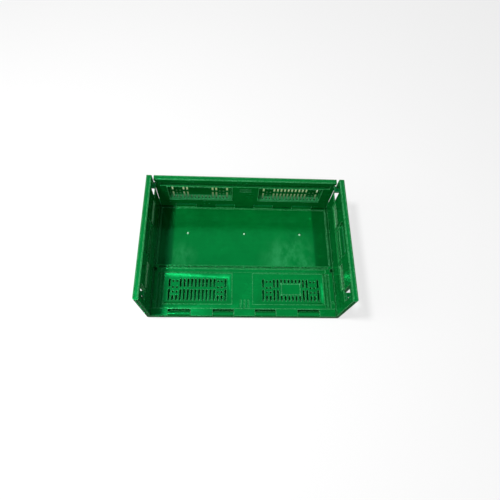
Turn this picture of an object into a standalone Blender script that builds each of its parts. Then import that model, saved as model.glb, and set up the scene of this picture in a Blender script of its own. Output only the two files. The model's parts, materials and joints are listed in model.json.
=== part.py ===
"""Collapsible storage crate: base tray, four folding walls, two lock bars, hinge pins.

World frame in metres, +Z up, crate centred on X and Y, standing on Z = 0.
The front (-Y) wall is modelled folded flat on the floor, the other three walls stand.
"""
import math

import bmesh
import bpy
from mathutils import Matrix, Vector

# Overall size
LENGTH = 0.600
WIDTH = 0.400
CORNER_R = 0.006
END_TOP = 0.205
LONG_TOP = 0.181

# Walls: half the thickness, and the plane the wall's hinge axis lies in
HALF_T = 0.00775
AXIS_INSET = 0.008
LONG_AXIS_Z = 0.024
END_AXIS_Z = 0.050
LONG_HALF = 0.2837
END_REAR = 0.18395

# Cutters run this far past the face they start from
PAST = 0.001
PAST_TAPER = 0.0005

# Base tray
FOOT_H = 0.006
FOOT_STEP = 0.004
FOOT_SLOPE = 0.002
FLOOR_TOP = 0.011
FLOOR_UNDER = 0.008
LONG_SILL = 0.0155
END_SILL = 0.0415
SILL_INNER = 0.284
PAN_HALF_X = 0.281
PAN_HALF_Y = 0.181
CELL_RIB = 0.0035
CELLS_X = (-0.279, 0.279, 9)
CELLS_Y = (-0.179, 0.179, 6)
END_CELLS_Y = (-0.190, 0.190, 8)
LONG_HOLLOW = (0.1835, 0.1925)
LONG_HOLLOW_TOP = 0.0125
END_HOLLOW = (0.2865, 0.2925)
END_HOLLOW_TOP = 0.038
LUG_R = 0.0075
LUG_ROOT = 0.010
LUG_GAP = 0.0005
LONG_LUGS = ((0.033, 0.097), (0.165, 0.233))
END_LUGS = ((-0.138, -0.098), (-0.028, 0.012), (0.082, 0.122))
LONG_LUG_CLEAR = 0.0130
END_LUG_CLEAR = 0.0105

# Hinge pins
PIN_R = 0.0025
BORE_R = 0.0029
PIN_GRIP = 0.008
PIN_END_PLAY = 0.0005

# Long walls' windows and slots, as heights above the hinge axis and distances from the middle
WINDOW_OUT = 0.250
WINDOW_LOW = 0.029
WINDOW_HIGH = 0.128
WINDOW_IN_PLAIN = (0.040, 0.050)
WINDOW_IN_LABEL = (0.0265, 0.050)
WINDOW_FLOOR = (0.2425, 0.0365, 0.1145)
PLATE_OUT = -0.0045
PLATE_IN = -0.0010
LEDGE_FRONT = 0.0420
LEDGE_BACK = 0.0600
LEDGE_LIP = 0.0055
LEDGE_MOUTH = (0.044, 0.247, LEDGE_FRONT, 0.1185)
LEDGE_FLOOR = (0.049, 0.243, LEDGE_BACK, 0.1140)
SLOT_W = 0.0056
SLOT_FIRST = 0.0595
SLOT_PITCH = 0.011667
SLOT_COUNT = 16
LOWER_ROW = (0.040, 0.076)
UPPER_ROW = (0.0845, 0.1105)
SHORT_LOWER = (0.040, 0.057)
SHORT_UPPER = (0.1000, 0.1105)
LABEL_COLUMNS = (5, 6, 7, 8, 9, 10)
HOLE_COLUMNS = (1, 2, 13, 14)
HOLE_HEIGHTS = (0.0680, 0.0830, 0.1030)
HOLE_R = 0.0032
HOLE_DEPTH = 0.009

# Long walls' other recesses: (half length, depth) and heights above the hinge axis
LIP = (0.268, 0.0055)
LIP_UP = (0.1225, 0.1410)
INNER_BAR = (0.018, 0.004)
INNER_BAR_H = 0.003
INNER_BARS_UP = (0.094, 0.101, 0.108)
FACE_CUT = 0.0025
GROOVE_IN = -0.0005
CENTRE_GROOVES = (-0.012, 0.0, 0.012)
CENTRE_GROOVE_W = 0.003
CENTRE_GROOVE_UP = (0.014, 0.042)
TOP_CELLS = (-0.272, 0.272, 6, 0.004)
TOP_CELLS_UP = (0.1480, 0.1525)
BAND_HALF = 0.262
BAND_UP = (0.1335, 0.1445)
STILE_GROOVES = ((0.2545, 0.2610), (0.2650, 0.2710))
STILE_UP = (0.018, 0.129)
TAB_SKIN = 0.0015
TAB_TOP = 0.0150
NOTCH_REACH = 0.009
BOLT_NOTCH = (0.2770, 0.2900)
BOLT_NOTCH_UP = (0.1356, 0.1471)

# End walls, as distances along the wall from its middle and heights above the hinge axis
POCKET_IN = 0.00375
TAPER = 0.003
END_PANELS = ((-0.143, -0.061), (-0.056, 0.056), (0.061, 0.143))
PANEL_UP = (0.0560, 0.0950)
PANEL_UP_INNER = (0.0550, 0.0960)
PANEL_UP_FLOOR = (0.0580, 0.0930)
PANEL_SKIN = (0.0005, 0.0045)
TOP_POCKETS = (0.0545, 0.1410, 3, 0.0035)
TOP_POCKETS_UP = (0.1240, 0.1495)
LOW_POCKETS = (-0.190, 0.176, 5, 0.0040)
LOW_POCKETS_UP = (0.0145, 0.0520)
CORNER_WINDOW = (0.1480, 0.1795)
CORNER_WINDOW_UP = (0.0800, 0.1400)
CORNER_POCKET = (0.1450, 0.1805)
CORNER_POCKET_UP = (0.0330, 0.1465)
CORNER_SKIN = 0.0037
REAR_RELIEF = (0.1790, 0.1850)
REAR_RELIEF_UP = (0.0400, 0.1000)
VENT_FIRST = 0.0690
VENT_PITCH = 0.0110
VENT_COUNT = 7
VENT_UP = (0.0605, 0.0905)
VENT_ACROSS = (-0.006, 0.001)
GRIP_HOLES = 9
GRIP_HOLES_UP = (0.0670, 0.0840)
GRIP_HOLE_MID = 0.0025
GRIP_HOLE_DEPTH = 0.007
COMB = (0.014, 0.148, 11, 0.0035)
COMB_ACROSS = (-0.0045, 0.0045)
COMB_ALONG = (-0.202, -0.1945)

# Lock bars
LOCK_TRAVEL = 0.009
BOLT_LOW = 0.160
BOLT_HIGH = 0.168
BOLT_NEAR = 0.164
BOLT_FAR = 0.176
NOSE_FAR = 0.1837
NOSE_TIP = 0.01425
NOSE_BACK = 0.00825
BAR_HALF = 0.178
GRIP_HALF = 0.042
RAIL_FRONT = 0.0072
RAIL_BACK = 0.0012
GRIP_OUTLINE = ((-0.0030, 0.1085), (0.0045, 0.1085), (0.0066, 0.1106), (0.0066, 0.1190),
                (0.0045, 0.1210), (-0.0030, 0.1210), (-0.0050, 0.1190), (-0.0050, 0.1105))
CHANNEL_FLOOR = 0.0005
CHANNEL_HALF = 0.179
HAND_LOW = 0.1485
HAND_HIGH = 0.1880
HAND_R = 0.010
HAND_SPARE = 0.010

GREEN = (0.0, 0.20, 0.055, 1.0)
DARK_GREEN = (0.0, 0.13, 0.04, 1.0)
STEEL = (0.62, 0.63, 0.64, 1.0)


def clear_scene():
    for obj in list(bpy.data.objects):
        bpy.data.objects.remove(obj, do_unlink=True)


def material(name, colour, roughness, metallic):
    mat = bpy.data.materials.new(name)
    mat.use_nodes = True
    shader = mat.node_tree.nodes["Principled BSDF"]
    shader.inputs["Base Color"].default_value = colour
    shader.inputs["Roughness"].default_value = roughness
    shader.inputs["Metallic"].default_value = metallic
    mat.diffuse_color = colour
    return mat


def to_object(bm, name):
    bm.normal_update()
    bmesh.ops.recalc_face_normals(bm, faces=bm.faces)
    mesh = bpy.data.meshes.new(name)
    bm.to_mesh(mesh)
    bm.free()
    obj = bpy.data.objects.new(name, mesh)
    bpy.context.scene.collection.objects.link(obj)
    return obj


def as_cutter(obj):
    obj.hide_render = True
    obj.display_type = "WIRE"
    return obj


def boolean(target, tool, operation):
    mod = target.modifiers.new(operation.lower() + "_" + tool.name, "BOOLEAN")
    mod.operation = operation
    mod.solver = "EXACT"
    mod.object = tool
    tool.parent = target
    as_cutter(tool)


def add_box(bm, xs, ys, zs):
    """One block between the two values of each pair, in either order."""
    mid = Vector([(a + b) / 2 for a, b in (xs, ys, zs)])
    size = [abs(b - a) for a, b in (xs, ys, zs)]
    scale = Matrix.Diagonal((size[0], size[1], size[2], 1.0))
    bmesh.ops.create_cube(bm, size=1.0, matrix=Matrix.Translation(mid) @ scale)


def add_taper_y(bm, y_wide, wide, y_small, small):
    """A block tapering along Y between two rectangles (x0, x1, z0, z1)."""
    add_box(bm, (0.0, 1.0), (0.0, 1.0), (0.0, 1.0))
    for v in bm.verts[-8:]:
        rect = wide if v.co.y > 0.5 else small
        x = rect[1] if v.co.x > 0.5 else rect[0]
        z = rect[3] if v.co.z > 0.5 else rect[2]
        y = y_wide if v.co.y > 0.5 else y_small
        v.co = (x, y, z)


def add_taper_x(bm, x_wide, wide, x_small, small):
    """A block tapering along X between two rectangles (y0, y1, z0, z1)."""
    add_box(bm, (0.0, 1.0), (0.0, 1.0), (0.0, 1.0))
    for v in bm.verts[-8:]:
        rect = wide if v.co.x > 0.5 else small
        y = rect[1] if v.co.y > 0.5 else rect[0]
        z = rect[3] if v.co.z > 0.5 else rect[2]
        x = x_wide if v.co.x > 0.5 else x_small
        v.co = (x, y, z)


def add_rod(bm, centre, axis, length, radius, segments=12):
    """A round rod centred on a point, along X or Y."""
    turn = Matrix.Rotation(math.pi / 2, 4, "Y" if axis == "X" else "X")
    bmesh.ops.create_cone(
        bm, cap_ends=True, segments=segments, radius1=radius, radius2=radius,
        depth=length, matrix=Matrix.Translation(Vector(centre)) @ turn)


def add_extrusion(bm, outline, direction):
    """A prism from a closed outline of points, pushed along a vector."""
    verts = [bm.verts.new(p) for p in outline]
    face = bm.faces.new(verts)
    grown = bmesh.ops.extrude_face_region(bm, geom=[face], use_keep_orig=True)
    moved = [g for g in grown["geom"] if isinstance(g, bmesh.types.BMVert)]
    bmesh.ops.translate(bm, verts=moved, vec=Vector(direction))


def rounded_rectangle(half_a, half_b, radius, steps=4):
    """Points round a rectangle centred on zero, anticlockwise."""
    points = []
    corners = ((1, 1, 0), (-1, 1, 90), (-1, -1, 180), (1, -1, 270))
    for sign_a, sign_b, start in corners:
        for i in range(steps + 1):
            angle = math.radians(start + 90 * i / steps)
            a = sign_a * (half_a - radius) + radius * math.cos(angle)
            b = sign_b * (half_b - radius) + radius * math.sin(angle)
            points.append((a, b))
    return points


def stacked_prism(name, rings):
    """A closed solid through outlines (half x, half y, radius) at rising heights."""
    bm = bmesh.new()
    loops = []
    for half_x, half_y, radius, z in rings:
        outline = rounded_rectangle(half_x, half_y, radius)
        loops.append([bm.verts.new((x, y, z)) for x, y in outline])
    for low, high in zip(loops, loops[1:]):
        for i in range(len(low)):
            j = (i + 1) % len(low)
            bm.faces.new((low[i], low[j], high[j], high[i]))
    bm.faces.new(loops[0])
    bm.faces.new(loops[-1])
    return to_object(bm, name)


def wall_section(height, outer):
    """Wall outline (thickness, height) about its hinge axis.

    The lower inner corner is round so it can roll over the sill.
    """
    points = [(outer * HALF_T, -HALF_T)]
    steps = 5
    for i in range(steps + 1):
        angle = math.radians(90 * i / steps)
        points.append((-outer * HALF_T * math.sin(angle), -HALF_T * math.cos(angle)))
    points.append((-outer * HALF_T, height))
    points.append((outer * HALF_T, height))
    return points


def lug_section():
    """Hinge lug outline (across, height) about its hinge axis."""
    points = [(-LUG_R, -LUG_ROOT), (LUG_R, -LUG_ROOT)]
    steps = 8
    for i in range(steps + 1):
        angle = math.radians(180 * i / steps)
        points.append((LUG_R * math.cos(angle), LUG_R * math.sin(angle)))
    return points


# ---- Base tray --------------------------------------------------------------

def spans(low, high, count, rib):
    """Even openings between two limits with a rib of the given width between."""
    width = (high - low - rib * (count - 1)) / count
    return [(low + i * (width + rib), low + i * (width + rib) + width)
            for i in range(count)]


def tray_body():
    half_x = LENGTH / 2
    half_y = WIDTH / 2
    foot = (half_x - FOOT_STEP, half_y - FOOT_STEP, CORNER_R)
    body = (half_x, half_y, CORNER_R)
    return stacked_prism("base_tray", (
        foot + (0.0,), foot + (FOOT_H,), body + (FOOT_H + FOOT_SLOPE,), body + (END_SILL,)))


def tray_hollow():
    """Space above the long sills, and above the floor."""
    past_y = WIDTH / 2 + 0.010
    past_z = END_SILL + 0.0185
    bm = bmesh.new()
    add_box(bm, (-SILL_INNER, SILL_INNER), (-past_y, past_y), (LONG_SILL, past_z))
    upper = as_cutter(to_object(bm, "cut_tray_upper"))
    bm = bmesh.new()
    add_box(bm, (-PAN_HALF_X, PAN_HALF_X), (-PAN_HALF_Y, PAN_HALF_Y), (FLOOR_TOP, 2 * LONG_SILL))
    lower = as_cutter(to_object(bm, "cut_tray_floor"))
    return upper, lower


def tray_underside():
    """Rib cells under the floor and hollows inside the sills."""
    bm = bmesh.new()
    below = -2 * PAST
    cells_x = spans(*CELLS_X, CELL_RIB)
    for xs in cells_x:
        for ys in spans(*CELLS_Y, CELL_RIB):
            add_box(bm, xs, ys, (below, FLOOR_UNDER))
    for side in (-1, 1):
        near, far = LONG_HOLLOW
        for xs in cells_x:
            add_box(bm, xs, (side * near, side * far), (below, LONG_HOLLOW_TOP))
        near, far = END_HOLLOW
        for ys in spans(*END_CELLS_Y, CELL_RIB):
            add_box(bm, (side * near, side * far), ys, (below, END_HOLLOW_TOP))
    return as_cutter(to_object(bm, "cut_tray_cells"))


def tray_lugs():
    bm = bmesh.new()
    for side in (-1, 1):
        y = side * (WIDTH / 2 - AXIS_INSET)
        for low, high in LONG_LUGS:
            for mirror in (-1, 1):
                x0 = mirror * low if mirror > 0 else -high
                outline = [(x0, y + a, LONG_AXIS_Z + b) for a, b in lug_section()]
                add_extrusion(bm, outline, (high - low, 0, 0))
        x = side * (LENGTH / 2 - AXIS_INSET)
        for low, high in END_LUGS:
            outline = [(x + a, low, END_AXIS_Z + b) for a, b in lug_section()]
            add_extrusion(bm, outline, (0, high - low, 0))
    return as_cutter(to_object(bm, "add_tray_lugs"))


def tray_bores():
    bm = bmesh.new()
    longer = 4 * PAST
    for side in (-1, 1):
        y = side * (WIDTH / 2 - AXIS_INSET)
        for low, high in LONG_LUGS:
            for mirror in (-1, 1):
                mid = (mirror * (low + high) / 2, y, LONG_AXIS_Z)
                add_rod(bm, mid, "X", high - low + longer, BORE_R)
        x = side * (LENGTH / 2 - AXIS_INSET)
        for low, high in END_LUGS:
            add_rod(bm, (x, (low + high) / 2, END_AXIS_Z), "Y", high - low + longer, BORE_R)
    return as_cutter(to_object(bm, "cut_tray_bores"))


def base_tray():
    tray = tray_body()
    upper, lower = tray_hollow()
    boolean(tray, upper, "DIFFERENCE")
    boolean(tray, lower, "DIFFERENCE")
    boolean(tray, tray_lugs(), "UNION")
    boolean(tray, tray_bores(), "DIFFERENCE")
    boolean(tray, tray_underside(), "DIFFERENCE")
    tray.data.materials.append(material("base_tray", GREEN, 0.25, 0.0))
    return tray


# ---- Long walls -------------------------------------------------------------

def mirrored(m, rect):
    """A (near, far, low, high) rectangle, on the side of the middle that m says."""
    near, far, low, high = rect
    return (m * near, m * far, low, high)


def long_recesses(name):
    """Tapered window recesses on the outer (-Y) and inner (+Y) faces."""
    far, low, high = WINDOW_FLOOR
    bm = bmesh.new()
    for m, (edge, foot) in ((-1, WINDOW_IN_PLAIN), (1, WINDOW_IN_LABEL)):
        wide = mirrored(m, (edge, WINDOW_OUT, WINDOW_LOW, WINDOW_HIGH))
        small = mirrored(m, (foot, far, low, high))
        add_taper_y(bm, -HALF_T - PAST_TAPER, wide, PLATE_OUT, small)
    outer = as_cutter(to_object(bm, name + "_cut_outer"))
    bm = bmesh.new()
    for m in (-1, 1):
        wide = mirrored(m, LEDGE_MOUTH)
        small = mirrored(m, LEDGE_FLOOR)
        add_taper_y(bm, HALF_T + PAST_TAPER, wide, PLATE_IN, small)
    half, deep = LIP
    add_box(bm, (-half, half), (HALF_T - deep, HALF_T + PAST), LIP_UP)
    half, deep = INNER_BAR
    for height in INNER_BARS_UP:
        add_box(bm, (-half, half), (HALF_T - deep, HALF_T + PAST), (height, height + INNER_BAR_H))
    inner = as_cutter(to_object(bm, name + "_cut_inner"))
    return outer, inner


def slot_rows(column, labelled):
    """The heights each column of a window's slots spans."""
    if column in HOLE_COLUMNS:
        return (SHORT_LOWER,)
    if labelled and column in LABEL_COLUMNS:
        return (SHORT_LOWER, SHORT_UPPER)
    return (LOWER_ROW, UPPER_ROW)


def long_slots(name):
    """Vent slots in two rows, with round holes near each end and a blank label plate."""
    bm = bmesh.new()
    for m in (-1, 1):
        for column in range(SLOT_COUNT):
            x = m * (SLOT_FIRST + column * SLOT_PITCH)
            for row in slot_rows(column, m > 0):
                deep = PLATE_IN + 2 * PAST if row[0] > LEDGE_BACK else LEDGE_LIP
                add_box(bm, (x - SLOT_W / 2, x + SLOT_W / 2), (PLATE_OUT - 4 * PAST, deep), row)
            if column in HOLE_COLUMNS:
                for height in HOLE_HEIGHTS:
                    add_rod(bm, (x, PLATE_OUT, height), "Y", HOLE_DEPTH, HOLE_R, 8)
    return as_cutter(to_object(bm, name + "_cut_slots"))


def long_grooves(name):
    """Weight-saving grooves in the outer face, between stiffening ribs."""
    bm = bmesh.new()
    outside = -HALF_T - PAST
    deep = (outside, GROOVE_IN)
    shallow = (outside, -HALF_T + FACE_CUT)
    half = CENTRE_GROOVE_W / 2
    for x in CENTRE_GROOVES:
        add_box(bm, (x - half, x + half), shallow, CENTRE_GROOVE_UP)
    for xs in spans(*TOP_CELLS):
        add_box(bm, xs, deep, TOP_CELLS_UP)
    add_box(bm, (-BAND_HALF, BAND_HALF), shallow, BAND_UP)
    for m in (-1, 1):
        for near, far in STILE_GROOVES:
            add_box(bm, (m * near, m * far), deep, STILE_UP)
    return as_cutter(to_object(bm, name + "_cut_grooves"))


def long_notches(name):
    """Gaps for the base lugs, and end notches that let the lifted bolts pass."""
    bm = bmesh.new()
    skin = (-HALF_T - 0.00225, -HALF_T + TAB_SKIN)
    add_box(bm, (-LENGTH / 2, LENGTH / 2), skin, (-LUG_ROOT, TAB_TOP))
    tabs = as_cutter(to_object(bm, name + "_cut_tabs"))
    bm = bmesh.new()
    through = (-NOTCH_REACH, NOTCH_REACH)
    for m in (-1, 1):
        for low, high in LONG_LUGS:
            xs = (m * (low - LUG_GAP), m * (high + LUG_GAP))
            add_box(bm, xs, through, (-NOTCH_REACH, LONG_LUG_CLEAR))
        near, far = BOLT_NOTCH
        add_box(bm, (m * near, m * far), through, BOLT_NOTCH_UP)
    return tabs, as_cutter(to_object(bm, name + "_cut_notches"))


def long_bores(name):
    bm = bmesh.new()
    for m in (-1, 1):
        for low, high in LONG_LUGS:
            reach = high - low + 2 * (LUG_GAP + PIN_GRIP + PIN_END_PLAY)
            add_rod(bm, (m * (low + high) / 2, 0, 0), "X", reach, BORE_R)
    return as_cutter(to_object(bm, name + "_cut_bores"))


def long_wall(name, y, euler):
    """A long wall, built upright with its outer face on -Y, then turned into place."""
    height = LONG_TOP - LONG_AXIS_Z
    bm = bmesh.new()
    outline = [(-LONG_HALF, a, b) for a, b in wall_section(height, -1)]
    add_extrusion(bm, outline, (2 * LONG_HALF, 0, 0))
    wall = to_object(bm, name)
    tabs, notches = long_notches(name)
    boolean(wall, tabs, "DIFFERENCE")
    boolean(wall, notches, "DIFFERENCE")
    boolean(wall, long_bores(name), "DIFFERENCE")
    outer, inner = long_recesses(name)
    boolean(wall, outer, "DIFFERENCE")
    boolean(wall, inner, "DIFFERENCE")
    boolean(wall, long_grooves(name), "DIFFERENCE")
    boolean(wall, long_slots(name), "DIFFERENCE")
    wall.location = (0, y, LONG_AXIS_Z)
    wall.rotation_euler = euler
    wall.data.materials.append(material(name, GREEN, 0.22, 0.0))
    return wall


# ---- End walls --------------------------------------------------------------

def end_channel(name, s):
    """Outer channel for the lock bar, and the corner windows and pockets round its bolts."""
    low = BOLT_LOW - LOCK_TRAVEL - END_AXIS_Z
    high = BOLT_HIGH - END_AXIS_Z
    outside = s * NOTCH_REACH
    bm = bmesh.new()
    along = (-CHANNEL_HALF, CHANNEL_HALF)
    add_box(bm, (s * CHANNEL_FLOOR, outside), along, (low - PAST, high + PAST))
    channel = as_cutter(to_object(bm, name + "_cut_channel"))
    bm = bmesh.new()
    for m in (-1, 1):
        near, far = CORNER_WINDOW
        add_box(bm, (outside, -outside), (m * near, m * far), CORNER_WINDOW_UP)
    windows = as_cutter(to_object(bm, name + "_cut_windows"))
    bm = bmesh.new()
    skin = (outside, -s * CORNER_SKIN)
    for m in (-1, 1):
        near, far = CORNER_POCKET
        add_box(bm, skin, (m * near, m * far), CORNER_POCKET_UP)
    pockets = as_cutter(to_object(bm, name + "_cut_corner_pockets"))
    bm = bmesh.new()
    add_box(bm, skin, REAR_RELIEF, REAR_RELIEF_UP)
    relief = as_cutter(to_object(bm, name + "_cut_rear_relief"))
    return channel, windows, pockets, relief


def end_hand_hole(name, s):
    bm = bmesh.new()
    mid_z = (HAND_LOW + HAND_HIGH) / 2 - END_AXIS_Z
    half_z = (HAND_HIGH - HAND_LOW) / 2
    reach = HALF_T + 0.00225
    outline = [(-s * reach, a, mid_z + b)
               for a, b in rounded_rectangle(GRIP_HALF + HAND_SPARE, half_z, HAND_R)]
    add_extrusion(bm, outline, (s * 2 * reach, 0, 0))
    return as_cutter(to_object(bm, name + "_cut_hand_hole"))


def end_recesses(name, s):
    """Outer pockets between ribs: above the lock channel, low down, and round the thin panels."""
    bm = bmesh.new()
    deep = -s * POCKET_IN
    face = s * (HALF_T + PAST_TAPER)
    for m in (-1, 1):
        for near, far in spans(*TOP_POCKETS):
            add_box(bm, (deep, face), (m * near, m * far), TOP_POCKETS_UP)
    low, high = LOW_POCKETS_UP
    for near, far in spans(*LOW_POCKETS):
        small = (near + TAPER, far - TAPER, low + TAPER, high - TAPER)
        add_taper_x(bm, face, (near, far, low, high), deep, small)
    skin_out, skin_in = PANEL_SKIN
    for near, far in END_PANELS:
        small = (near + TAPER, far - TAPER) + PANEL_UP_FLOOR
        add_taper_x(bm, face, (near, far) + PANEL_UP, -s * skin_out, small)
    outer = as_cutter(to_object(bm, name + "_cut_pockets"))
    bm = bmesh.new()
    for near, far in END_PANELS:
        small = (near + TAPER, far - TAPER) + PANEL_UP_FLOOR
        add_taper_x(bm, -face, (near, far) + PANEL_UP_INNER, -s * skin_in, small)
    inner = as_cutter(to_object(bm, name + "_cut_inner"))
    return outer, inner


def end_slots(name, s):
    """Vent slots either side of the hand hole, holes under it, and the comb up the front edge."""
    bm = bmesh.new()
    xs = (s * VENT_ACROSS[0], s * VENT_ACROSS[1])
    for m in (-1, 1):
        for i in range(VENT_COUNT):
            y = m * (VENT_FIRST + i * VENT_PITCH)
            add_box(bm, xs, (y - SLOT_W / 2, y + SLOT_W / 2), VENT_UP)
    for i in range(GRIP_HOLES):
        y = (i - (GRIP_HOLES - 1) / 2) * VENT_PITCH
        for height in GRIP_HOLES_UP:
            add_rod(bm, (-s * GRIP_HOLE_MID, y, height), "X", GRIP_HOLE_DEPTH, HOLE_R, 8)
    for zs in spans(*COMB):
        add_box(bm, COMB_ACROSS, COMB_ALONG, zs)
    return as_cutter(to_object(bm, name + "_cut_slots"))


def end_notches(name):
    bm = bmesh.new()
    through = (-NOTCH_REACH, NOTCH_REACH)
    for low, high in END_LUGS:
        add_box(bm, through, (low - LUG_GAP, high + LUG_GAP), (-NOTCH_REACH, END_LUG_CLEAR))
    notches = as_cutter(to_object(bm, name + "_cut_notches"))
    bm = bmesh.new()
    for low, high in END_LUGS:
        reach = high - low + 2 * (LUG_GAP + PIN_GRIP + PIN_END_PLAY)
        add_rod(bm, (0, (low + high) / 2, 0), "Y", reach, BORE_R)
    bores = as_cutter(to_object(bm, name + "_cut_bores"))
    return notches, bores


def plan_outline(name, x):
    """The crate's rounded plan, in the wall's own frame."""
    plan = (LENGTH / 2, WIDTH / 2, CORNER_R)
    tool = stacked_prism(name + "_keep_plan", (plan + (-END_AXIS_Z,), plan + (END_TOP,)))
    for v in tool.data.vertices:
        v.co.x -= x
    return as_cutter(tool)


def end_wall(name, s):
    height = END_TOP - END_AXIS_Z
    x = s * (LENGTH / 2 - AXIS_INSET)
    front = -WIDTH / 2
    bm = bmesh.new()
    outline = [(a, front, b) for a, b in wall_section(height, s)]
    add_extrusion(bm, outline, (0, END_REAR - front, 0))
    wall = to_object(bm, name)
    boolean(wall, plan_outline(name, x), "INTERSECT")
    for tool in end_channel(name, s):
        boolean(wall, tool, "DIFFERENCE")
    boolean(wall, end_hand_hole(name, s), "DIFFERENCE")
    outer, inner = end_recesses(name, s)
    boolean(wall, outer, "DIFFERENCE")
    boolean(wall, inner, "DIFFERENCE")
    boolean(wall, end_slots(name, s), "DIFFERENCE")
    notches, bores = end_notches(name)
    boolean(wall, notches, "DIFFERENCE")
    boolean(wall, bores, "DIFFERENCE")
    wall.location = (x, 0, END_AXIS_Z)
    wall.data.materials.append(material(name, GREEN, 0.22, 0.0))
    return wall


def lock_bar(name, s):
    """Sliding bar: a rail with two hooked bolts, and a grip in the hand hole."""
    z = END_AXIS_Z
    bm = bmesh.new()
    front = s * RAIL_FRONT
    back = s * RAIL_BACK
    plan = [(front, -BAR_HALF), (back, -BAR_HALF), (back, -BOLT_FAR),
            (-s * NOSE_BACK, -BOLT_FAR), (-s * NOSE_BACK, -NOSE_FAR),
            (-s * NOSE_TIP, -NOSE_FAR), (-s * NOSE_TIP, -BOLT_NEAR), (back, -BOLT_NEAR)]
    plan += [(a, -b) for a, b in reversed(plan)]
    outline = [(a, b, BOLT_LOW - z) for a, b in plan]
    add_extrusion(bm, outline, (0, 0, BOLT_HIGH - BOLT_LOW))
    bar = to_object(bm, name)
    bm = bmesh.new()
    outline = [(s * a, -GRIP_HALF, b) for a, b in GRIP_OUTLINE]
    add_extrusion(bm, outline, (0, 2 * GRIP_HALF, 0))
    boolean(bar, as_cutter(to_object(bm, name + "_add_grip")), "UNION")
    bar.location = (s * (LENGTH / 2 - AXIS_INSET), 0, z)
    bar.data.materials.append(material(name, DARK_GREEN, 0.30, 0.0))
    return bar


# ---- Hinge pins -------------------------------------------------------------

def hinge_pin(name, centre, axis, length):
    bm = bmesh.new()
    add_rod(bm, (0, 0, 0), axis, length, PIN_R)
    pin = to_object(bm, name)
    for face in pin.data.polygons:
        face.use_smooth = len(face.vertices) == 4
    pin.location = centre
    pin.data.materials.append(material(name, STEEL, 0.28, 1.0))
    return pin


def long_pins(name, side):
    y = side * (WIDTH / 2 - AXIS_INSET)
    spans_x = [(-high, -low) for low, high in reversed(LONG_LUGS)] + list(LONG_LUGS)
    for number, (low, high) in enumerate(spans_x, start=1):
        length = high - low + 2 * PIN_GRIP
        centre = ((low + high) / 2, y, LONG_AXIS_Z)
        hinge_pin(name + "_" + str(number), centre, "X", length)


def end_pins(name, s):
    x = s * (LENGTH / 2 - AXIS_INSET)
    for number, (low, high) in enumerate(END_LUGS, start=1):
        length = high - low + 2 * PIN_GRIP
        centre = (x, (low + high) / 2, END_AXIS_Z)
        hinge_pin(name + "_" + str(number), centre, "Y", length)


def main():
    clear_scene()
    axis_y = WIDTH / 2 - AXIS_INSET
    base_tray()
    long_wall("front_wall", -axis_y, (-math.pi / 2, 0, 0))
    long_wall("rear_wall", axis_y, (0, 0, math.pi))
    end_wall("left_wall", -1)
    end_wall("right_wall", 1)
    lock_bar("left_lock_bar", -1)
    lock_bar("right_lock_bar", 1)
    long_pins("front_hinge_pin", -1)
    long_pins("rear_hinge_pin", 1)
    end_pins("left_hinge_pin", -1)
    end_pins("right_hinge_pin", 1)


main()
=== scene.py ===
"""Looks of the collapsible storage crate: moulded green plastic, studio floor, light and camera."""
import json
import math

import bmesh
import bpy
from mathutils import Matrix, Vector


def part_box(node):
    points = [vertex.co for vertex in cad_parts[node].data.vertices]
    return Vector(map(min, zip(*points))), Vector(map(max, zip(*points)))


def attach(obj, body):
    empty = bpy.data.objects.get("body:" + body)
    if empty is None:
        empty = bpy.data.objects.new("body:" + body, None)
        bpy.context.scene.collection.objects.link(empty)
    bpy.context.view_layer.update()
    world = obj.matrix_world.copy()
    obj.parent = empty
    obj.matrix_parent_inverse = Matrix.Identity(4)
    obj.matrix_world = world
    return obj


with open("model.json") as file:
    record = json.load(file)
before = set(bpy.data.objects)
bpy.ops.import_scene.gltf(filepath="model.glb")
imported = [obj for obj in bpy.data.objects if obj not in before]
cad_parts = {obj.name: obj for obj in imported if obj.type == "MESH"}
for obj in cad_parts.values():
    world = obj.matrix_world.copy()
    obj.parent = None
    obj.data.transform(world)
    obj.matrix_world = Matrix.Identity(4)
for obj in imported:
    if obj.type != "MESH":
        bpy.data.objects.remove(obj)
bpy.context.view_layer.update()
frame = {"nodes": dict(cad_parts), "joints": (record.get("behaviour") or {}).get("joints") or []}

# ---- Plastic and steel: linear colours, some of them painted light and shade, and how strongly each pattern, painted light and painted shade shows ---
GREEN = (0.0002, 0.098, 0.0150)
GREEN_LIGHT = (0.0004, 0.140, 0.0230)
GREEN_DARK = (0.0001, 0.052, 0.0075)
BAR_GREEN = (0.0003, 0.075, 0.018)
# Pale haze tone: whitening in scratches, and painted sheen and painted highlight on the tray floor and
# rear wall ledges
HAZE_AND_SHEEN = (0.022, 0.215, 0.070)
# Pale edge tone: partly rubbed plastic, partly painted highlight
WORN_AND_HIGHLIGHT = (0.110, 0.420, 0.200)
# Pale tone painted as a highlight on the gate nubs and in the vent lips
NUB = (0.550, 0.800, 0.600)
# Pale tone painted on the vent lips as a highlight
LIP_HIGHLIGHT_TONE = (0.230, 0.520, 0.270)
GLOSS_TINT = (0.015, 1.0, 0.27, 1.0)
STEEL = (0.52, 0.53, 0.54)
TARNISHED = (0.30, 0.28, 0.25)
CLOUD_SHARE = 0.40
DRIFT_SHARE = 0.26
FLOW_SHARE = 0.10
SCRATCH_SHARE = 0.22
TARNISH_SHARE = 0.5
# Share of painted shadow and reflection in the tray floor's strips along the end walls
PAINTED_SHADE_SHARE = 0.85
# Share of painted highlight on the rear wall's inner ledges
LEDGE_SHARE = 0.95
PLASTIC_IOR = 1.5
PLASTIC_SPECULAR = 0.85
ROUGH_SPREAD = (0.75, 1.35)
STEEL_ROUGH = (0.24, 0.42)
ROUGH_FROM_FLOW = 0.03
ROUGH_FROM_SCRATCH = 0.15
ROUGH_FROM_WEAR = 0.12

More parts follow.
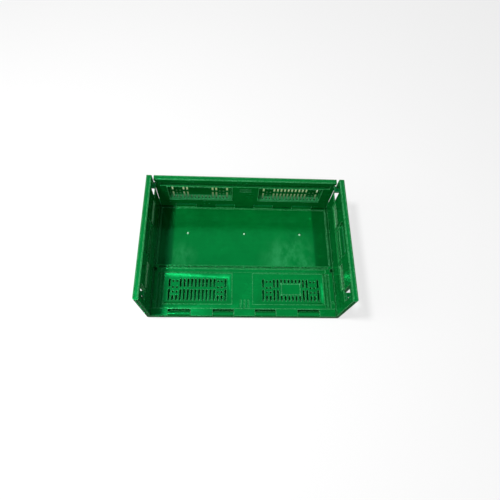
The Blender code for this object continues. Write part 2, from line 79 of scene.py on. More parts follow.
# Noise patterns: (scale, detail, roughness), and the range of it that is stretched to 0..1
CLOUD = ((9.0, 4.0, 0.55), (0.35, 0.68))
DRIFT = ((38.0, 3.0, 0.50), (0.38, 0.70))
FLOW = ((120.0, 2.0, 0.40), (0.42, 0.66))
SCRATCH = ((1100.0, 1.0, 0.40), (0.70, 0.78))
SCRATCH_PATCH = ((14.0, 2.0, 0.50), (0.46, 0.66))
# Breaks up the pale edges, which are partly rubbed and partly painted highlight
EDGE_WEAR_AND_HIGHLIGHT = ((170.0, 4.0, 0.65), (0.30, 0.62))
GLOSS = ((24.0, 5.0, 0.60), (0.30, 0.75))
SCUFF_AND_SHEEN_CLOUD = ((30.0, 4.0, 0.60), (0.32, 0.66))
TARNISH = ((70.0, 4.0, 0.60), (0.45, 0.75))
FLOOR_CLOUD = ((3.0, 3.0, 0.50), (0.30, 0.70))
SINK_NOISE = (55.0, 2.0, 0.50)
PEEL_NOISE = (620.0, 3.0, 0.55)
DRAWN_NOISE = (1500.0, 2.0, 0.50)
DRAWN_RANGE = (0.3, 0.7)
EDGE_WEAR_AND_HIGHLIGHT_LEAST = 0.25

# How far the patterns are stretched, and the scratches' directions (radians) and offsets
FLOW_STRETCH = 0.03
SCRATCH_STRETCH = 0.05
SCUFF_AND_SHEEN_STRETCH = (1.0, 0.6, 1.0)
DRAWN_STRETCH = (0.04, 0.04, 1.0)
SCRATCH_TURNS = ((0.5, 1.7), (-0.9, 4.1), (1.9, 7.3))

# Bump layers: (strength, distance in metres)
SINK_BUMP = (0.26, 0.0009)
PEEL_BUMP = (0.20, 0.00012)
SCRATCH_BUMP = (0.16, 0.00006)
DRAWN_BUMP = (0.20, 0.00005)

# Edges: reach of the mask of pale edges, partly rubbed and partly painted highlight, and the softening of
# corners in shading
EDGE_REACH = 0.0020
EDGE_RANGE = (0.998, 0.92)
CORNER_SOFT = 0.0012
BEVEL_SAMPLES = 4

# Painted shadow and reflection, painted highlight, and pale patches of rubbed haze and painted sheen,
# metres in the crate's frame: pairs are where a mask starts and is full
PATCH_CORE = 0.25
# Pale tray floor patches: partly rubbed haze, partly painted sheen
SCUFF_AND_SHEEN_SPOTS = (((0.155, -0.010, 0.0), 0.120, 0.80), ((-0.205, 0.005, 0.0), 0.065, 0.50))
# Where the painted shadow and reflection along the end walls begins and is full
PAINTED_SHADE_EDGE = (0.232, 0.240)
# Where the painted highlight lies on the rear wall's inner ledges
LEDGE_LOW = (0.064, 0.067)
LEDGE_HIGH = (0.086, 0.083)
LEDGE_NEAR = (0.041, 0.045)
LEDGE_FAR = (0.250, 0.246)
LEDGE_BACK = (0.197, 0.194)

# ---- Rounded edges of the CAD nodes -----------------------------------------------------
WELD_GAP = 1e-6
FLAT_DEGREES = 0.5
SHARP_DEGREES = 35.0
ROUND_STEPS = 2
FLAT_WEIGHT = 80
TRAY_ROUND = 0.00024
LONG_WALL_ROUND = 0.0005
END_WALL_ROUND = 0.0004
BAR_ROUND = 0.0004
PIN_ROUND = 0.0003

# ---- Added detail, metres from a wall's hinge axis: along it, outwards, and up the wall -----
WALL_FACE = 0.00775
PLATE_FACE = 0.0045
PLATE_ROOT = 0.0010
PLATE_RISE = 0.0009
PLATE_CORNER = 0.0020
PLATE_CHAMFER = 0.0004
LABEL_ACROSS = (0.1160, 0.1780)
LABEL_UP = (0.0600, 0.0970)
BORDER_RISE = 0.0016
BORDER_WIDE = 0.0016
STUD_RISE = 0.0012
STUD_R = 0.0032
BOSS_ACROSS = 0.2772
BOSS_UP = 0.0360
BOSS_R = 0.0046
WINDOW_FRAMES = ((-0.2520, -0.0380), (0.0245, 0.2520))
WINDOW_UP = (0.0270, 0.1300)
INNER_FRAMES = ((-0.2495, -0.0415), (0.0415, 0.2495))
INNER_UP = (0.0395, 0.1205)
FRAME_WIDE = 0.0018
FRAME_HIGH = 0.0007
FRAME_ROOT = 0.0003
FRAME_CORNER = 0.3
VENT_FIRST = 0.0690
VENT_PITCH = 0.0110
VENT_COUNT = 7
VENT_HALF = 0.0040
VENT_UP = (0.0593, 0.0917)
VENT_FACE = 0.0045
LIP_WIDE = 0.0012
BEAD_HIGH = 0.0010
BEAD_WIDE = 0.0016
BEAD_OUT = 0.0046
BEAD_SHORT = 0.0060
BEAD_END = 0.55
FLOOR_TOP = 0.011
GATE_X = 0.189
GATE_Y = 0.086
NUB_R = 0.0029

# Profiles: a boss as (share of its radius, height), a bead as shares of its half width and
# height, and a gate mark as (radius, height) in metres, closed at both ends on its axis
BOSS_PROFILE = ((1.0, -0.0008), (1.0, 0.0006), (0.88, 0.0010), (0.70, 0.0010),
                (0.58, 0.0003), (0.50, 0.0001))
BEAD_PROFILE = ((-1.0, -0.5), (-1.0, 0.45), (-0.55, 0.9), (0.0, 1.0),
                (0.55, 0.9), (1.0, 0.45), (1.0, -0.5))
GATE_PROFILE = ((0.0, -0.0010), (0.0058, -0.0010), (0.0060, 0.0001), (0.0054, 0.0005),
                (0.0047, 0.0003), (0.0040, 0.00005), (0.0033, 0.00005), (NUB_R, 0.0006),
                (0.0023, 0.0013), (0.0012, 0.0017), (0.0, 0.0014))

# ---- Studio ---------------------------------------------------------------------------
FLOOR_HALF = 8.0
FLOOR_DROP = 0.0004
FLOOR_TONE = (0.86, 0.86, 0.86)
FLOOR_DARKER = 0.98
FLOOR_ROUGH = 0.85
FLOOR_GLOW = 0.97
FLOOR_LIFT = 0.75
FLOOR_GLOSS = 0.16
FLOOR_GLOSS_TONE = (0.5, 1.0, 0.6, 1.0)
SHADE_TONE = (0.27, 0.42, 0.16)
SHADE_DEEP = (0.045, 0.135, 0.055)
SHADE_SIDE = (0.265, 0.325)
SHADE_BACK = (0.270, 0.340)
SHADE_FRONT = (0.17, 0.10)
SHADE_PALING = (0.235, 0.275)
SHADE_REACH = 0.30
SHADE_SAMPLES = 16
SHADE_OPEN = (0.80, 0.88)
ROOM_LOW = 0.17
ROOM_HIGH = 0.29
ROOM_RISE = (-0.1, 1.0)
ROOM_LEFT = 1.25
ROOM_RIGHT = 0.60
ROOM_SPAN = (-0.8, 0.8)
SKY_GLOSS = 1.12
SKY_GLOSS_LOW = 0.22
SKY_RISE = (0.30, 0.95)

# Lamps: name, place, target, size and watts
LAMPS = (("key", (-0.75, -0.20, 2.20), (0.0, 0.0, 0.05), (0.22, 0.22), 52.0),
         ("left_fill", (-1.7, -0.3, 1.35), (0.1, 0.0, 0.1), (0.9, 0.9), 16.0),
         ("front_fill", (0.30, -1.9, 0.9), (0.0, 0.0, 0.1), (1.6, 0.7), 5.0))

SENSOR_MM = 36.0
LENS_MM = 27.684
CLIP = (0.05, 50.0)
CAMERA_AT = Vector((-0.0487, -0.4716, 1.1898))
CAMERA_FORWARD = Vector((0.0533, 0.3893, -0.9196))
CAMERA_RIGHT = Vector((0.9985, -0.0068, 0.0549))


# ---- Node helpers ----------------------------------------------------------------
class Nodes:
    """Short calls for building one material's node tree."""

    def __init__(self, name):
        self.mat = bpy.data.materials.new(name)
        self.mat.use_nodes = True
        self.tree = self.mat.node_tree
        self.shader = self.tree.nodes["Principled BSDF"]

    def add(self, kind, values=None, **settings):
        node = self.tree.nodes.new(kind)
        for key, value in settings.items():
            setattr(node, key, value)
        for key, value in (values or {}).items():
            self.put(node.inputs[key], value)
        return node

    def put(self, socket, value):
        if isinstance(value, bpy.types.NodeSocket):
            self.tree.links.new(value, socket)
        else:
            socket.default_value = value

    def noise(self, kind, vector=None):
        scale, detail, rough = kind
        values = {"Scale": scale, "Detail": detail, "Roughness": rough}
        if vector is not None:
            values["Vector"] = vector
        return self.add("ShaderNodeTexNoise", values).outputs["Fac"]

    def pattern(self, kind, vector=None, start=0.0, end=1.0):
        noise, stretched = kind
        return self.ramp(self.noise(noise, vector), *stretched, start, end)

    def math(self, operation, a, b=0.0, clamp=False):
        node = self.add("ShaderNodeMath", {0: a, 1: b}, operation=operation)
        node.use_clamp = clamp
        return node.outputs[0]

    def ramp(self, value, low, high, start=0.0, end=1.0):
        values = {"Value": value, "From Min": low, "From Max": high, "To Min": start, "To Max": end}
        return self.add("ShaderNodeMapRange", values, interpolation_type="SMOOTHSTEP").outputs[0]

    def mix(self, share, a, b):
        node = self.add("ShaderNodeMix", data_type="RGBA")
        self.put(node.inputs[0], share)
        for socket, value in ((node.inputs[6], a), (node.inputs[7], b)):
            self.put(socket, (*value, 1.0) if isinstance(value, tuple) and len(value) == 3 else value)
        return node.outputs[2]

    def bump(self, layer, height, normal=None):
        strength, distance = layer
        values = {"Strength": strength, "Distance": distance, "Height": height}
        if normal is not None:
            values["Normal"] = normal
        return self.add("ShaderNodeBump", values)

    def places(self, scale=(1.0, 1.0, 1.0)):
        coords = self.add("ShaderNodeTexCoord").outputs["Object"]
        return self.add("ShaderNodeMapping", {"Vector": coords, "Scale": scale}).outputs[0]

    def spot(self):
        return self.add("ShaderNodeSeparateXYZ", {"Vector": self.places()}).outputs


# ---- Moulded plastic ---------------------------------------------------------------
def streaks(n, along):
    """A 0..1 mask of long soft flow lines along one axis."""
    stretch = {"x": (FLOW_STRETCH, 1.0, 1.0), "y": (1.0, FLOW_STRETCH, 1.0),
               "z": (1.0, 1.0, FLOW_STRETCH)}[along]
    place = n.add("ShaderNodeMapping", {"Vector": n.places(), "Scale": stretch}).outputs[0]
    return n.pattern(FLOW, place)


def scratches(n):
    """A 0..1 mask of fine scuffs lying in three directions, thinned out in patches."""
    total = None
    for turn, seed in SCRATCH_TURNS:
        spun = n.add("ShaderNodeMapping", {"Vector": n.places(), "Location": (seed, seed * 2.3, seed),
                                           "Rotation": (turn * 0.4, turn * 0.3, turn)}).outputs[0]
        stretch = (SCRATCH_STRETCH, 1.0, 1.0)
        thin = n.add("ShaderNodeMapping", {"Vector": spun, "Scale": stretch}).outputs[0]
        mask = n.pattern(SCRATCH, thin)
        total = mask if total is None else n.math("MAXIMUM", total, mask)
    return n.math("MULTIPLY", total, n.pattern(SCRATCH_PATCH, n.places()))


def plastic(name, along="x", rough=0.20, wear_and_highlight=0.75, tone=GREEN, light=GREEN_LIGHT, dark=GREEN_DARK,
            haze_and_highlight=None, shade=None):
    """Glossy injection-moulded polypropylene: cloudy colour, flow lines, scuffs, pale edges partly rubbed
    and partly painted highlight, and optional masks of painted sheen, highlight and shade.
    """
    n = Nodes(name)
    place = n.places()
    flow = streaks(n, along)
    scratch = scratches(n)
    # Pale edges and corners: partly rubbed plastic, partly painted highlight
    edge_rub_and_glint = n.math("MULTIPLY", edge_mask(n), n.pattern(EDGE_WEAR_AND_HIGHLIGHT, place, EDGE_WEAR_AND_HIGHLIGHT_LEAST))
    colour = n.mix(n.math("MULTIPLY", n.pattern(CLOUD, place), CLOUD_SHARE), tone, light)
    colour = n.mix(n.math("MULTIPLY", n.pattern(DRIFT, place), DRIFT_SHARE), colour, dark)
    colour = n.mix(n.math("MULTIPLY", flow, FLOW_SHARE), colour, light)
    colour = n.mix(n.math("MULTIPLY", scratch, SCRATCH_SHARE), colour, HAZE_AND_SHEEN)
    # Optional pale patches towards the haze tone, carrying painted sheen and painted highlight
    if haze_and_highlight is not None:
        colour = n.mix(haze_and_highlight(n), colour, HAZE_AND_SHEEN)
    # Optional painted shade, mixed towards the dark tone
    if shade is not None:
        colour = n.mix(shade(n), colour, GREEN_DARK)
    colour = n.mix(n.math("MULTIPLY", edge_rub_and_glint, wear_and_highlight), colour, WORN_AND_HIGHLIGHT)
    gloss = n.pattern(GLOSS, place, *(rough * share for share in ROUGH_SPREAD))
    gloss = n.math("ADD", gloss, n.math("MULTIPLY", flow, ROUGH_FROM_FLOW))
    gloss = n.math("ADD", gloss, n.math("MULTIPLY", scratch, ROUGH_FROM_SCRATCH))
    gloss = n.math("ADD", gloss, n.math("MULTIPLY", edge_rub_and_glint, ROUGH_FROM_WEAR), True)
    n.put(n.shader.inputs["Base Color"], colour)
    n.put(n.shader.inputs["Roughness"], gloss)
    n.put(n.shader.inputs["IOR"], PLASTIC_IOR)
    n.put(n.shader.inputs["Specular IOR Level"], PLASTIC_SPECULAR)
    n.put(n.shader.inputs["Specular Tint"], GLOSS_TINT)
    n.put(n.shader.inputs["Normal"], surface_bump(n, place, scratch))
    return n.mat


def patch(n, centre, reach):
    """A soft round patch in plan, 1 in the middle and 0 beyond its reach."""
    gap = n.add("ShaderNodeVectorMath", {0: n.places((1.0, 1.0, 0.0)), 1: centre}, operation="DISTANCE")
    return n.ramp(gap.outputs["Value"], reach, reach * PATCH_CORE)


def floor_painted_shade_bands(n):
    """Painted shadow and reflection: darker strips of tray floor along the end walls, standing in for the
    left wall's shadow and the end walls' dark reflections in the glossy floor.
    """
    edge = n.ramp(n.math("ABSOLUTE", n.spot()["X"]), *PAINTED_SHADE_EDGE)
    return n.math("MULTIPLY", edge, PAINTED_SHADE_SHARE)


def floor_scuffs_and_sheen(n):
    """Pale patches on the tray floor, broken up by cloudy noise: partly rubbed haze, partly painted sheen
    standing in for glossy reflection.
    """
    right, left = (n.math("MULTIPLY", patch(n, centre, reach), share) for centre, reach, share in SCUFF_AND_SHEEN_SPOTS)
    cloud = n.pattern(SCUFF_AND_SHEEN_CLOUD, n.places(SCUFF_AND_SHEEN_STRETCH))
    return n.math("MULTIPLY", n.math("ADD", right, left), cloud, True)


def ledge_painted_highlight(n):
    """Painted highlight: pale tone on the up-facing sloping ledges inside the rear wall, under its slots,
    where they catch the light from above.
    """
    spot = n.spot()
    across = n.math("ABSOLUTE", spot["X"])
    share = LEDGE_SHARE
    for value, limit in ((spot["Z"], LEDGE_LOW), (spot["Z"], LEDGE_HIGH), (across, LEDGE_NEAR),
                         (across, LEDGE_FAR), (spot["Y"], LEDGE_BACK)):
        share = n.math("MULTIPLY", share, n.ramp(value, *limit))
    return share


def edge_mask(n):
    """Near 1 on outside and inside corners, 0 on open faces."""
    bent = n.add("ShaderNodeBevel", {"Radius": EDGE_REACH}, samples=BEVEL_SAMPLES).outputs[0]
    flat = n.add("ShaderNodeNewGeometry").outputs["Normal"]
    dot = n.add("ShaderNodeVectorMath", {0: bent, 1: flat}, operation="DOT_PRODUCT").outputs["Value"]
    return n.ramp(dot, *EDGE_RANGE)


def surface_bump(n, place, scratch):
    """Softened corners, the slight unevenness of a moulded face, and the scuffs cut into it."""
    soft = n.add("ShaderNodeBevel", {"Radius": CORNER_SOFT}, samples=BEVEL_SAMPLES).outputs[0]
    sink = n.bump(SINK_BUMP, n.noise(SINK_NOISE, place), soft)
    peel = n.bump(PEEL_BUMP, n.noise(PEEL_NOISE, place), sink.outputs[0])
    cut = n.bump(SCRATCH_BUMP, scratch, peel.outputs[0])
    cut.invert = True
    return cut.outputs[0]


def steel(name):
    """Drawn steel pin: fine lines of drawing and a little tarnish."""
    n = Nodes(name)
    tarnish = n.math("MULTIPLY", n.pattern(TARNISH, n.places()), TARNISH_SHARE)
    drawn = n.noise(DRAWN_NOISE, n.places(DRAWN_STRETCH))
    n.put(n.shader.inputs["Base Color"], n.mix(tarnish, STEEL, TARNISHED))
    n.put(n.shader.inputs["Roughness"], n.ramp(drawn, *DRAWN_RANGE, *STEEL_ROUGH))
    n.put(n.shader.inputs["Metallic"], 1.0)
    n.put(n.shader.inputs["Normal"], n.bump(DRAWN_BUMP, drawn).outputs[0])
    return n.mat


# ---- CAD nodes: rounded edges and finishes ------------------------------------------------
def rounded(obj, width):
    """Rounds the sharp edges of a CAD node, after its flat faces are split into even triangles."""
    weld = obj.modifiers.new("weld", "WELD")
    weld.merge_threshold = WELD_GAP
    flat = obj.modifiers.new("flat", "DECIMATE")
    flat.decimate_type = "DISSOLVE"
    flat.angle_limit = math.radians(FLAT_DEGREES)
    even = obj.modifiers.new("even", "TRIANGULATE")
    even.ngon_method = "BEAUTY"
    bevel = obj.modifiers.new("bevel", "BEVEL")
    bevel.width = width
    bevel.segments = ROUND_STEPS
    bevel.limit_method = "ANGLE"
    bevel.angle_limit = math.radians(SHARP_DEGREES)
    bevel.loop_slide = False
    bevel.use_clamp_overlap = False
    shade = obj.modifiers.new("shade", "WEIGHTED_NORMAL")
    shade.keep_sharp = False
    shade.weight = FLAT_WEIGHT


def dress(name, mat, width):
    """Gives one CAD node its finish and rounded edges."""
    node = frame["nodes"][name]
    node.data.materials.clear()
    node.data.materials.append(mat)
    node.data.shade_smooth()
    rounded(node, width)


def dress_all():
    """Every CAD node's finish, and the width of its rounded edges."""
    tray = plastic("tray_plastic", "x", rough=0.16, haze_and_highlight=floor_scuffs_and_sheen, shade=floor_painted_shade_bands)
    dress("base_tray", tray, TRAY_ROUND)
    dress("front_wall", plastic("front_wall_plastic", "x", rough=0.22), LONG_WALL_ROUND)
    # Rear wall: painted highlight on its inner ledges
    dress("rear_wall", plastic("rear_wall_plastic", "x", rough=0.20, haze_and_highlight=ledge_painted_highlight), LONG_WALL_ROUND)
    # End walls: pale edges at full strength, a painted highlight that shows on the left wall's shaded
    # inner face
    for side in ("left", "right"):
        dress(side + "_wall", plastic(side + "_wall_plastic", "y", rough=0.20, wear_and_highlight=1.0), END_WALL_ROUND)
    bar = plastic("lock_bar_plastic", "y", rough=0.26, tone=BAR_GREEN)
    for side in ("left", "right"):
        dress(side + "_lock_bar", bar, BAR_ROUND)
    pin = steel("pin_steel")
    for name in frame["nodes"]:
        if "hinge_pin" in name:
            dress(name, pin, PIN_ROUND)


# ---- Building blocks of the added detail --------------------------------------------------
def new_object(name, bm, mat, body, shade=True):
    """Turns a bmesh into a piece that rides on a body and takes its finish from a slot."""
    bm.normal_update()
    bmesh.ops.recalc_face_normals(bm, faces=bm.faces)
    mesh = bpy.data.meshes.new(name)
    bm.to_mesh(mesh)
    bm.free()
    mesh.materials.append(mat)
    if shade:
        mesh.shade_smooth()
    obj = bpy.data.objects.new(name, mesh)
    bpy.context.scene.collection.objects.link(obj)
    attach(obj, body)
    return obj


def bridge(bm, loops):
    """Faces between each loop of points and the next."""
    for first, second in zip(loops, loops[1:]):
        for i in range(len(first)):
            j = (i + 1) % len(first)
            bm.faces.new((first[i], first[j], second[j], second[i]))


def loft(bm, loops):
    """A closed solid through a row of loops."""
    bridge(bm, loops)
    bm.faces.new(loops[0])
    bm.faces.new(loops[-1])


def add_turned(bm, centre, profile, steps=28):
    """A round solid turned about a vertical axis from (radius, height) points, closed at both ends."""
    rings = []
    for radius, height in profile[1:-1]:
        ring = []
        for i in range(steps):
            angle = 2 * math.pi * i / steps
            across = Vector((radius * math.cos(angle), radius * math.sin(angle), height))
            ring.append(bm.verts.new(centre + across))
        rings.append(ring)
    bridge(bm, rings)
    for ring, (_, height) in ((rings[0], profile[0]), (rings[-1], profile[-1])):
        tip = bm.verts.new(centre + Vector((0.0, 0.0, height)))
        for i in range(steps):
            bm.faces.new((ring[i], ring[(i + 1) % steps], tip))


def add_plate(bm, place, across, up, low, high, corner, steps=5):
    """A thin rounded plate with a chamfered edge, from out = low to out = high on a wall."""
    mid_a, mid_u = sum(across) / 2, sum(up) / 2
    half_a, half_u = abs(across[1] - across[0]) / 2, abs(up[1] - up[0]) / 2
    chamfer = min(PLATE_CHAMFER, (high - low) / 2)
    loops = []
    for inset, out in ((0.0, low), (0.0, high - chamfer), (chamfer, high)):
        ring = []
        for sign_a, sign_u, start in ((1, 1, 0), (-1, 1, 90), (-1, -1, 180), (1, -1, 270)):
            for i in range(steps):
                angle = math.radians(start + 90 * i / (steps - 1))
                radius = corner - inset
                a = sign_a * (half_a - corner) + radius * math.cos(angle)
                u = sign_u * (half_u - corner) + radius * math.sin(angle)
                ring.append(bm.verts.new(place(mid_a + a, out, mid_u + u)))
        loops.append(ring)
    loft(bm, loops)


def add_frame(bm, place, across, up, low, high, width):
    """A raised rectangular border: four ribs laid round a field."""
    a0, a1 = across
    u0, u1 = up
    for ribs_across, ribs_up in (((a0, a1), (u0, u0 + width)), ((a0, a1), (u1 - width, u1)),
                                 ((a0, a0 + width), (u0 + width, u1 - width)),
                                 ((a1 - width, a1), (u0 + width, u1 - width))):
        add_plate(bm, place, ribs_across, ribs_up, low, high, width * FRAME_CORNER, steps=3)


def add_boss(bm, place, a, u, out, radius, steps=24):
    """A moulded ring with a dished middle, standing on a wall's face."""
    loops = []
    for share, height in BOSS_PROFILE:
        ring = []
        for i in range(steps):
            angle = 2 * math.pi * i / steps
            across = a + radius * share * math.cos(angle)
            up = u + radius * share * math.sin(angle)
            ring.append(bm.verts.new(place(across, out + height, up)))
        loops.append(ring)
    loft(bm, loops)


def add_bead(bm, place, span, out, top):
    """A low rounded ridge along a wall's top face, lower and narrower at its two ends."""
    start, end = span
    loops = []
    for a, share in ((start, BEAD_END), (start + BEAD_WIDE, 1.0), (end - BEAD_WIDE, 1.0), (end, BEAD_END)):
        loop = []
        for across, rise in BEAD_PROFILE:
            height = top + rise * BEAD_HIGH * (share if rise > 0 else 1.0)
            loop.append(bm.verts.new(place(a, out + across * BEAD_WIDE / 2 * share, height)))
        loops.append(loop)
    loft(bm, loops)


# ---- Where the walls are ---------------------------------------------------------------
def hinge_points():
    """A point on the hinge axis of each wall, by the wall's body."""
    return {joint["child"]: Vector(joint["pos_m"]) for joint in frame["joints"]
            if joint["type"] == "hinge"}


def long_wall_places():
    """For each long wall: its body, and a function from (across, out, up) on the wall to the crate.

    The front wall lies folded at rest, so its outer face looks up and its top points inwards.
    """
    front, rear = hinge_points()["front"], hinge_points()["rear"]
    return (("front", lambda x, out, up: front + Vector((x, up, out))),
            ("rear", lambda x, out, up: rear + Vector((-x, out, up))))


def end_wall_places():
    """The same for the end walls, whose outer faces look along X."""
    left, right = hinge_points()["left"], hinge_points()["right"]
    return (("left", lambda y, out, up: left + Vector((-out, y, up))),
            ("right", lambda y, out, up: right + Vector((out, y, up))))


def inner_side(place):
    """The same wall's places, with out measured towards the inside of the crate."""
    return lambda across, out, up: place(across, -out, up)


def wall_finish(body):
    return frame["nodes"][body + "_wall"].data.materials[0]


# ---- Added moulding detail ----------------------------------------------------------------
def rim_beads():
    """Pairs of low moulded beads along the top faces of all four walls."""
    for body, place in long_wall_places() + end_wall_places():
        node = body + "_wall"
        low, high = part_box(node)
        along = 0 if body in ("front", "rear") else 1
        upwards = 1 if body == "front" else 2
        top = high[upwards] - place(0.0, 0.0, 0.0)[upwards]
        bm = bmesh.new()
        for out in (-BEAD_OUT, BEAD_OUT):
            add_bead(bm, place, (low[along] + BEAD_SHORT, high[along] - BEAD_SHORT), out, top)
        new_object(body + "_rim_beads", bm, wall_finish(body), body, False)


def window_frames():
    """Low moulded borders round the long walls' windows, on both faces."""
    root, crest = WALL_FACE - FRAME_ROOT, WALL_FACE + FRAME_HIGH
    for body, place in long_wall_places():
        bm = bmesh.new()
        for across in WINDOW_FRAMES:
            add_frame(bm, place, across, WINDOW_UP, root, crest, FRAME_WIDE)
        for across in INNER_FRAMES:
            add_frame(bm, inner_side(place), across, INNER_UP, root, crest, FRAME_WIDE)
        new_object(body + "_window_frames", bm, wall_finish(body), body, False)


def vent_lips():
    """Raised lips round the end walls' vent slots, on the inside, painted pale as highlights standing in
    for light caught on the slot edges.
    """
    # Painted highlight on the lips
    mat = plastic("vent_lip_painted_highlight", "z", rough=0.24, wear_and_highlight=0.9, tone=LIP_HIGHLIGHT_TONE, light=NUB, dark=HAZE_AND_SHEEN)
    root, crest = VENT_FACE - FRAME_ROOT, VENT_FACE + FRAME_HIGH
    for body, place in end_wall_places():
        bm = bmesh.new()
        for side in (-1, 1):
            for i in range(VENT_COUNT):
                mid = side * (VENT_FIRST + i * VENT_PITCH)
                across = (mid - VENT_HALF, mid + VENT_HALF)
                add_frame(bm, inner_side(place), across, VENT_UP, root, crest, LIP_WIDE)
        new_object(body + "_vent_lips", bm, mat, body, False)


def gate_marks():
    """The marks left by the moulding gates: a sunk ring painted dark as its shade, round a snapped nub
    painted pale as a highlight.
    """
    # Painted shade on the sunk ring and painted highlight on the nub
    dark = plastic("gate_ring_painted_shade", "x", rough=0.16, wear_and_highlight=0.5, tone=GREEN_DARK, light=GREEN)
    pale = plastic("gate_nub_painted_highlight", "x", rough=0.30, wear_and_highlight=0.2, tone=NUB, light=NUB, dark=WORN_AND_HIGHLIGHT)
    number = 0
    for y in (-GATE_Y, GATE_Y):
        for x in (-GATE_X, 0.0, GATE_X):
            number += 1
            centre = Vector((x, y, FLOOR_TOP))
            bm = bmesh.new()
            add_turned(bm, centre, GATE_PROFILE)
            for face in bm.faces:
                off = face.calc_center_median() - centre
                face.material_index = int(off.xy.length < NUB_R and off.z > 0)
            mark = new_object("gate_mark_%d" % number, bm, dark, "base")
            mark.data.materials.append(pale)


def long_wall_details():
    """Blank label plates with corner studs, and the ring bosses at the walls' ends."""
    for body, place in long_wall_places():
        bm = bmesh.new()
        add_plate(bm, place, LABEL_ACROSS, LABEL_UP, PLATE_FACE - PLATE_ROOT, PLATE_FACE + PLATE_RISE,
                  PLATE_CORNER)
        add_frame(bm, place, LABEL_ACROSS, LABEL_UP, PLATE_FACE, PLATE_FACE + BORDER_RISE, BORDER_WIDE)
        for a in LABEL_ACROSS:
            for u in LABEL_UP:
                add_boss(bm, place, a, u, PLATE_FACE + STUD_RISE, STUD_R, steps=12)
        new_object(body + "_label_plate", bm, wall_finish(body), body, False)
        bm = bmesh.new()
        for a in (-BOSS_ACROSS, BOSS_ACROSS):
            add_boss(bm, place, a, BOSS_UP, WALL_FACE, BOSS_R)
        new_object(body + "_end_bosses", bm, wall_finish(body), body)


# ---- Studio ---------------------------------------------------------------------------
def studio_floor():
    """A large pale floor, lifted towards white for the camera except in the shade behind the crate.

    Reflections of it in the plastic are dimmed, as they are with a dark cloth round the set.
    """
    mesh = bpy.data.meshes.new("studio_floor")
    corners = [(-FLOOR_HALF, -FLOOR_HALF), (FLOOR_HALF, -FLOOR_HALF),
               (FLOOR_HALF, FLOOR_HALF), (-FLOOR_HALF, FLOOR_HALF)]
    mesh.from_pydata([(x, y, -FLOOR_DROP) for x, y in corners], [], [(0, 1, 2, 3)])
    floor = bpy.data.objects.new("studio_floor", mesh)
    bpy.context.scene.collection.objects.link(floor)
    n = Nodes("studio_floor")
    darker = tuple(c * FLOOR_DARKER for c in FLOOR_TONE)
    n.put(n.shader.inputs["Base Color"], n.mix(n.pattern(FLOOR_CLOUD), FLOOR_TONE, darker))
    n.put(n.shader.inputs["Roughness"], FLOOR_ROUGH)
    ray = n.add("ShaderNodeLightPath").outputs
    away = shade_lift(n)
    glow = n.add("ShaderNodeEmission", {"Color": n.mix(away, shade_tone(n), (1.0, 1.0, 1.0)),
                                        "Strength": FLOOR_GLOW})
    lift = n.math("SUBTRACT", 1.0, n.math("MULTIPLY", away, 1.0 - FLOOR_LIFT))
    share = n.math("MULTIPLY", ray["Is Camera Ray"], lift)
    blend = n.add("ShaderNodeMixShader", {0: share, 1: n.shader.outputs[0], 2: glow.outputs[0]})
    dim = n.add("ShaderNodeEmission", {"Color": FLOOR_GLOSS_TONE, "Strength": FLOOR_GLOSS})
    seen = n.add("ShaderNodeMixShader", {0: ray["Is Glossy Ray"], 1: blend.outputs[0], 2: dim.outputs[0]})
    n.put(n.tree.nodes["Material Output"].inputs["Surface"], seen.outputs[0])
    mesh.materials.append(n.mat)


def shade_lift(n):
    """0 on the strip of floor in the standing rear wall's shade, rising to 1 away from it.

    The strip goes when the wall folds, because it needs the wall to block much of the sky.
    """
    spot = n.spot()
    side = n.ramp(n.math("ABSOLUTE", spot["X"]), *SHADE_SIDE)
    back = n.ramp(spot["Y"], *SHADE_BACK)
    front = n.ramp(spot["Y"], *SHADE_FRONT)
    sky = n.add("ShaderNodeAmbientOcclusion", {"Distance": SHADE_REACH}, samples=SHADE_SAMPLES)
    opened = n.ramp(sky.outputs["AO"], *SHADE_OPEN)
    return n.math("MAXIMUM", n.math("MAXIMUM", side, opened), n.math("MAXIMUM", back, front))


def shade_tone(n):
    """Green light spilled on that strip: deep by the wall, paler further out."""
    return n.mix(n.ramp(n.spot()["Y"], *SHADE_PALING), SHADE_DEEP, SHADE_TONE)


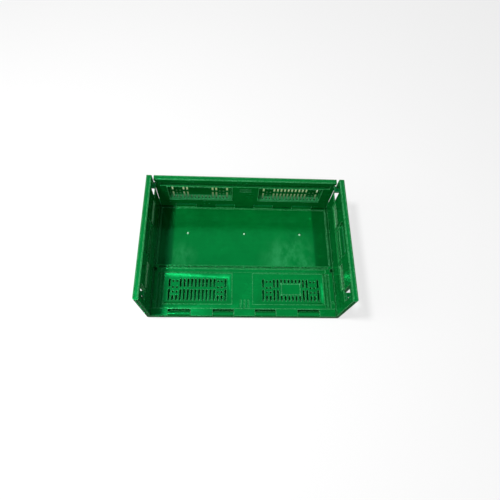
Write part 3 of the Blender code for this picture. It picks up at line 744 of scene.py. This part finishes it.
def world_light():
    """White to the camera; a dim room, brighter high up and to the left; bright overhead when mirrored."""
    world = bpy.data.worlds.new("studio")
    bpy.context.scene.world = world
    world.use_nodes = True
    tree = world.node_tree

    def link(kind, sources, **settings):
        """A node with its inputs joined to other nodes or set to values."""
        node = tree.nodes.new(kind)
        for key, value in settings.items():
            setattr(node, key, value)
        for key, value in sources.items():
            if isinstance(value, bpy.types.NodeSocket):
                tree.links.new(value, node.inputs[key])
            else:
                node.inputs[key].default_value = value
        return node.outputs[0]

    def grade(value, span, start, end):
        """Start to end as the value runs through the span."""
        return link("ShaderNodeMapRange", {"Value": value, "From Min": span[0], "From Max": span[1],
                                           "To Min": start, "To Max": end})

    split = tree.nodes.new("ShaderNodeSeparateXYZ")
    tree.links.new(tree.nodes.new("ShaderNodeTexCoord").outputs["Generated"], split.inputs[0])
    ray = tree.nodes.new("ShaderNodeLightPath").outputs
    rise = grade(split.outputs["Z"], ROOM_RISE, ROOM_LOW, ROOM_HIGH)
    side = grade(split.outputs["X"], ROOM_SPAN, ROOM_LEFT, ROOM_RIGHT)
    room = link("ShaderNodeMath", {0: rise, 1: side}, operation="MULTIPLY")
    sky = grade(split.outputs["Z"], SKY_RISE, SKY_GLOSS_LOW, SKY_GLOSS)
    shine = link("ShaderNodeMix", {0: ray["Is Glossy Ray"], 2: room, 3: sky})
    pick = link("ShaderNodeMix", {0: ray["Is Camera Ray"], 2: shine, 3: 1.0})
    back = tree.nodes["Background"]
    tree.links.new(pick, back.inputs["Strength"])
    back.inputs["Color"].default_value = (1.0, 1.0, 1.0, 1.0)


def lights():
    """Soft rectangular lamps: a key from the upper left, and fills from the left and the front."""
    for name, place, target, size, watts in LAMPS:
        data = bpy.data.lights.new(name, "AREA")
        data.shape = "RECTANGLE"
        data.size, data.size_y = size
        data.energy = watts
        lamp = bpy.data.objects.new(name, data)
        lamp.location = place
        aim = Vector(target) - Vector(place)
        lamp.rotation_euler = aim.to_track_quat("-Z", "Y").to_euler()
        bpy.context.scene.collection.objects.link(lamp)


def camera():
    """A camera at the photo's angle: high, in front and slightly left."""
    data = bpy.data.cameras.new("camera")
    data.sensor_width = SENSOR_MM
    data.lens = LENS_MM
    data.clip_start, data.clip_end = CLIP
    cam = bpy.data.objects.new("camera", data)
    forward = CAMERA_FORWARD.normalized()
    right = (CAMERA_RIGHT - forward * CAMERA_RIGHT.dot(forward)).normalized()
    up = right.cross(forward)
    turn = Matrix((right, up, -forward)).transposed()
    cam.matrix_world = Matrix.Translation(CAMERA_AT) @ turn.to_4x4()
    bpy.context.scene.collection.objects.link(cam)
    bpy.context.scene.camera = cam


def colour_management():
    """Plain sRGB, so that the colours above are the ones seen."""
    settings = bpy.context.scene.view_settings
    settings.view_transform = "Standard"
    settings.look = "None"


dress_all()
rim_beads()
window_frames()
vent_lips()
gate_marks()
long_wall_details()
studio_floor()
world_light()
lights()
camera()
colour_management()
